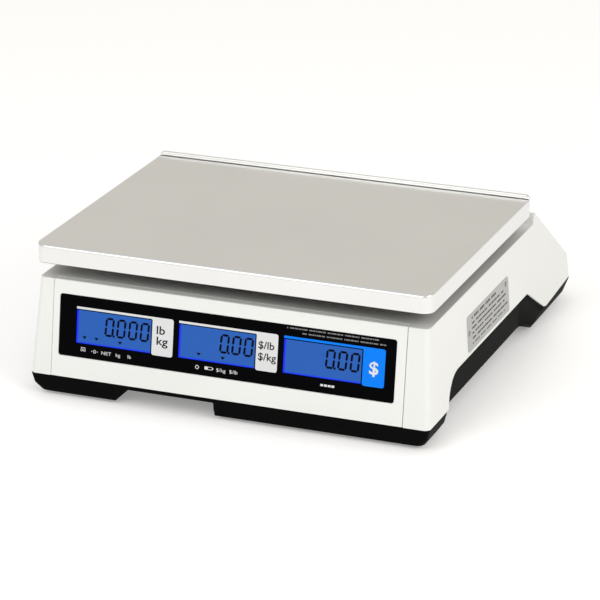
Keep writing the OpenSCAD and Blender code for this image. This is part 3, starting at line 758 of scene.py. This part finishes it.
def fold(normal_y):
    """Radius of the fold, wide where the edge faces the customer."""
    return 0.0009 + 0.0019 * max(-normal_y, 0) ** 2


def add_pan(mesh, low, high, top):
    """Adds the folded sheet, closed inside and out."""
    rim = platter_rim(low, high)

    def loop(inset, level):
        return [mesh.verts.new((cx + nx * (r - inset(ny)), cy + ny * (r - inset(ny)), level(ny)))
                for cx, cy, nx, ny, r in rim]

    edge = [loop(lambda n: SHEET, lambda n: low.z + BURR), loop(lambda n: SHEET * 0.75, lambda n: low.z),
            loop(lambda n: SHEET * 0.25, lambda n: low.z), loop(lambda n: 0, lambda n: low.z + BURR)]
    bend = [loop(lambda n: fold(n) * (1 - math.cos(a)), lambda n: top - fold(n) * (1 - math.sin(a)))
            for a in quarter(8)]
    inner = [loop(lambda n: max(fold(n), SHEET * 1.5), lambda n: top - SHEET),
             loop(lambda n: SHEET, lambda n: top - max(fold(n), SHEET * 1.5))]
    bridge(mesh, inner + edge + bend)
    mesh.faces.new(bend[-1])
    mesh.faces.new(inner[0])


def add_hem(mesh, low, high, top):
    """Adds the lip: a hem swept along the back edge, running down at its ends."""
    front, back, base = high.y - HEM_T, high.y, top - BURR
    under = top + HEM_GAP
    profile = [(back, base), (front + HEM_GAP_DEPTH, base), (front + HEM_GAP_DEPTH, under),
               (front + HEM_CHAMFER, under), (front, under + HEM_CHAMFER)]
    profile += [(front + HEM_R * (1 - math.cos(a)), high.z - HEM_R * (1 - math.sin(a))) for a in quarter(6)]
    profile += [(back - HEM_R * (1 - math.sin(a)), high.z - HEM_R * (1 - math.cos(a)))
                for a in quarter(6, 1)]
    rise = [(HEM_END_R * (1 - math.cos(a)), math.sin(a)) for a in quarter(8)]
    stations = [(low.x + BURR + x, s) for x, s in rise]
    stations += [(high.x - BURR - x, s) for x, s in reversed(rise)]
    strips = []
    for x, s in stations:
        keep = 1 - (1 - s) * HEM_END_R / (high.z - base)
        strips.append([mesh.verts.new((x, y, base + (z - base) * keep)) for y, z in profile])
    bridge(mesh, strips)
    mesh.faces.new(strips[0])
    mesh.faces.new(strips[-1])


def make_platter(material):
    """Pressed steel sheet: a wide fold at the front, tight folds elsewhere, a hemmed lip along the back."""
    low, high = (Vector(c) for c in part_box("platter"))
    mesh = bmesh.new()
    add_pan(mesh, low, high, high.z - LIP_H)
    add_hem(mesh, low, high, high.z - LIP_H)
    piece = place("platter_sheet", mesh, Matrix.Identity(4), material, "platter")
    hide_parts("platter")
    piece.data.polygons.foreach_set("use_smooth", [True] * len(piece.data.polygons))
    shade(piece)


# ---------------------------------------------------------------- operator side

# Console face, in millimetres down its slope and to the customer's right of the middle
CONSOLE_UP = Vector((0, -math.cos(CONSOLE_TILT), math.sin(CONSOLE_TILT)))
OPERATOR_RIGHT = Vector((-1, 0, 0))
OPERATOR_OVERLAY_T = 0.7
OVERLAY_V = 6
OPERATOR_WINDOWS = (98, 0, -98)
OPERATOR_WINDOW_V = 11
OPERATOR_WINDOW_W = 64
OPERATOR_WINDOW_H = 24
OPERATOR_UNITS = ("kg  lb", "$/kg  $/lb", "$")
OPERATOR_UNITS_V = 38.6
KEY_COLUMNS = (-112, -84, -56, 58, 86)
KEY_ROWS = (50, 64.5, 79, 93.5)
KEY_RISE = 2.3
KEY_WORDS = ("9", "8", "7", "T", "kg",
             "6", "5", "4", ">0<", "M1",
             "3", "2", "1", "+", "M2",
             ".", "00", "0", "C", "M3")


def console_plane(v, x=0.0, out=0.0):
    """Face of the console at v down it, seen by the operator: +x to their right, +y up the slope."""
    low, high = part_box("operator_overlay")
    drop = OPERATOR_OVERLAY_T * MM * math.sin(CONSOLE_TILT)
    corner = Vector(((low[0] + high[0]) / 2, low[1] + drop, high[2]))
    step = Matrix.Translation((-x, -(v - OVERLAY_V), out))
    return plane(corner, OPERATOR_RIGHT, CONSOLE_UP) @ step


def make_operator_displays(inks):
    """Digits of the three operator displays, their lit glass and the units below them."""
    for name, x, places in zip(DISPLAYS, OPERATOR_WINDOWS, DECIMALS):
        digits = bmesh.new()
        for shape in reading(places, 30.2, -20.0, 0.85):
            add_prism(digits, shape, 0, INK)
        face = console_plane(OPERATOR_WINDOW_V, x, -GLASS_DROP)
        place("operator_" + name + "_digits", digits, face, inks["segments"], "body")
    corner = console_plane(OPERATOR_WINDOW_V + OPERATOR_WINDOW_H - GLASS_EDGE,
                           OPERATOR_WINDOWS[0] + OPERATOR_WINDOW_W / 2 - GLASS_EDGE, -GLASS_DROP).translation
    lcd_glass("operator_displays", corner, OPERATOR_RIGHT, CONSOLE_UP, "operator_glass")
    words = bmesh.new()
    for x, unit in zip(OPERATOR_WINDOWS, OPERATOR_UNITS):
        add_letters(words, unit, 2.6, -x, OVERLAY_V - OPERATOR_UNITS_V, INK, "CENTER", 0.01)
    place("operator_legends", words, console_plane(OVERLAY_V), inks["white"], "body")


def make_key_legends(inks):
    """A printed word on each key, which rides on it."""
    for i, word in enumerate(KEY_WORDS):
        legend = bmesh.new()
        tall = 5.2 if len(word) == 1 else 4.0
        add_letters(legend, word, tall, 0, -tall / 2, INK, "CENTER", 0.02)
        face = console_plane(KEY_ROWS[i // 5], KEY_COLUMNS[i % 5], KEY_RISE)
        place("key_legend_%d" % (i + 1), legend, face, inks["white"], "key_%d" % (i + 1))


# ---------------------------------------------------------------- small parts

# Rating plate, in millimetres
PLATE_W = 107
PLATE_H = 31
PLATE_T = 0.5
PLATE_SEALS = ((5, 15.6), (101, 25.6))

# Spirit level, in millimetres from the middle of its top
LEVEL_RIM_R = 7.9
LEVEL_MARK_R = 3.3
BUBBLE_R = 2.5
BUBBLE_H = 0.35
BUBBLE_X = 0.4
BUBBLE_Y = -0.3

# Rocker, in millimetres: how far its middle lies behind its front, and from there (x, y) of the ends
# of its two faces
ROCKER_DEPTH = 4
ROCKER_RING_HALF = ((-3.2, -6.4), (-2.2, 0))
ROCKER_BAR_HALF = ((-2.2, 0), (-4, 6))


def make_rating_plate(inks, foil):
    """Foil plate with rounded corners, plain strokes in place of its words, and two seals."""
    low, high = (Vector(c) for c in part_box("rating_plate"))
    up = Vector((-math.sin(SIDE_DRAFT), 0, math.cos(SIDE_DRAFT)))
    origin = Vector((high.x, low.y, low.z + PLATE_T * MM * math.sin(SIDE_DRAFT)))
    face = plane(origin, Vector((0, 1, 0)), up)
    plate = bmesh.new()
    add_prism(plate, rounded(0, 0, PLATE_W, PLATE_H, 2.5), -PLATE_T, 0)
    for x, y in PLATE_SEALS:
        add_prism(plate, arc(x, y, 2.4, 0, 345, 23), -0.1, 0.6)
        add_prism(plate, arc(x, y, 1.7, 0, 345, 23), 0.6, 0.78)
    piece = place("rating_plate_foil", plate, face, foil, "body")
    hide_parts("rating_plate")
    edge = piece.modifiers.new("edge", "BEVEL")
    edge.width = 0.00015
    edge.segments = 2
    edge.angle_limit = math.radians(40)
    marks = bmesh.new()
    for row in range(6):
        tall, end = (1.3, 94) if row else (2.3, 76)
        width = 2.0 + 2.2 * (2 * row % 5)
        add_strokes(marks, 11, end, 26.2 - 4.4 * row, tall, [width], 1.0, 4.0, 4)
    place("rating_plate_strokes", marks, face, inks["black"], "body")


def make_level(inks):
    """Rim, ring mark and bubble of the spirit level."""
    low, high = (Vector(c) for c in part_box("bubble_level"))
    centre = Vector(((low.x + high.x) / 2, (low.y + high.y) / 2, high.z))
    face = plane(centre, Vector((1, 0, 0)), Vector((0, 1, 0)))
    rings = bmesh.new()
    add_ring(rings, 0, 0, LEVEL_RIM_R, 1.4, -0.1, 0.25, 40)
    add_ring(rings, 0, 0, LEVEL_MARK_R, 0.35, 0, INK, 32)
    place("level_rings", rings, face, inks["black"], "body")
    bubble = bmesh.new()
    loops = [circle(bubble, BUBBLE_X, BUBBLE_Y, BUBBLE_R * math.sqrt(1 - rise * rise), rise * BUBBLE_H, 24)
             for rise in (0, 0.45, 0.8, 0.96)]
    bridge(bubble, loops)
    bubble.faces.new(loops[0][::-1])
    bubble.faces.new(loops[-1])
    place("level_bubble", bubble, face, gloss("bubble", (0.72, 0.88, 0.35), 0.1), "body")


def make_rocker_marks(inks):
    """A ring and a bar on the two halves of the power rocker."""
    low, high = (Vector(c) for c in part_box("power_rocker"))
    middle = Vector((low.x + ROCKER_DEPTH * MM, (low.y + high.y) / 2, (low.z + high.z) / 2))
    ring, bar = bmesh.new(), bmesh.new()
    add_ring(ring, 0, 0, 1.3, 0.45, 0, INK)
    add_prism(bar, block(-0.25, -1.4, 0.5, 2.8), 0, INK)
    marks = bmesh.new()
    for mark, (start, end) in ((ring, ROCKER_RING_HALF), (bar, ROCKER_BAR_HALF)):
        start, end = Vector((*start, 0)), Vector((*end, 0))
        face = plane(middle + (start + end) / 2 * MM, (start - end).normalized(), Vector((0, 0, 1)))
        bmesh.ops.transform(mark, matrix=face, verts=mark.verts)
        data = bpy.data.meshes.new("mark")
        mark.to_mesh(data)
        mark.free()
        marks.from_mesh(data)
        bpy.data.meshes.remove(data)
    place("rocker_marks", marks, Matrix.Identity(4), inks["white"], "power_rocker")


make_camera()
make_stage()
MATERIALS = make_materials()
INKS = make_inks()
dress_frame(MATERIALS)
soften_frame()
make_displays(INKS)
make_tabs(INKS)
make_legends(INKS)
make_fine_print(INKS)
make_platter(MATERIALS["stainless"])
make_operator_displays(INKS)
make_key_legends(INKS)
make_rating_plate(INKS, MATERIALS["label_silver"])
make_level(INKS)
make_rocker_marks(INKS)
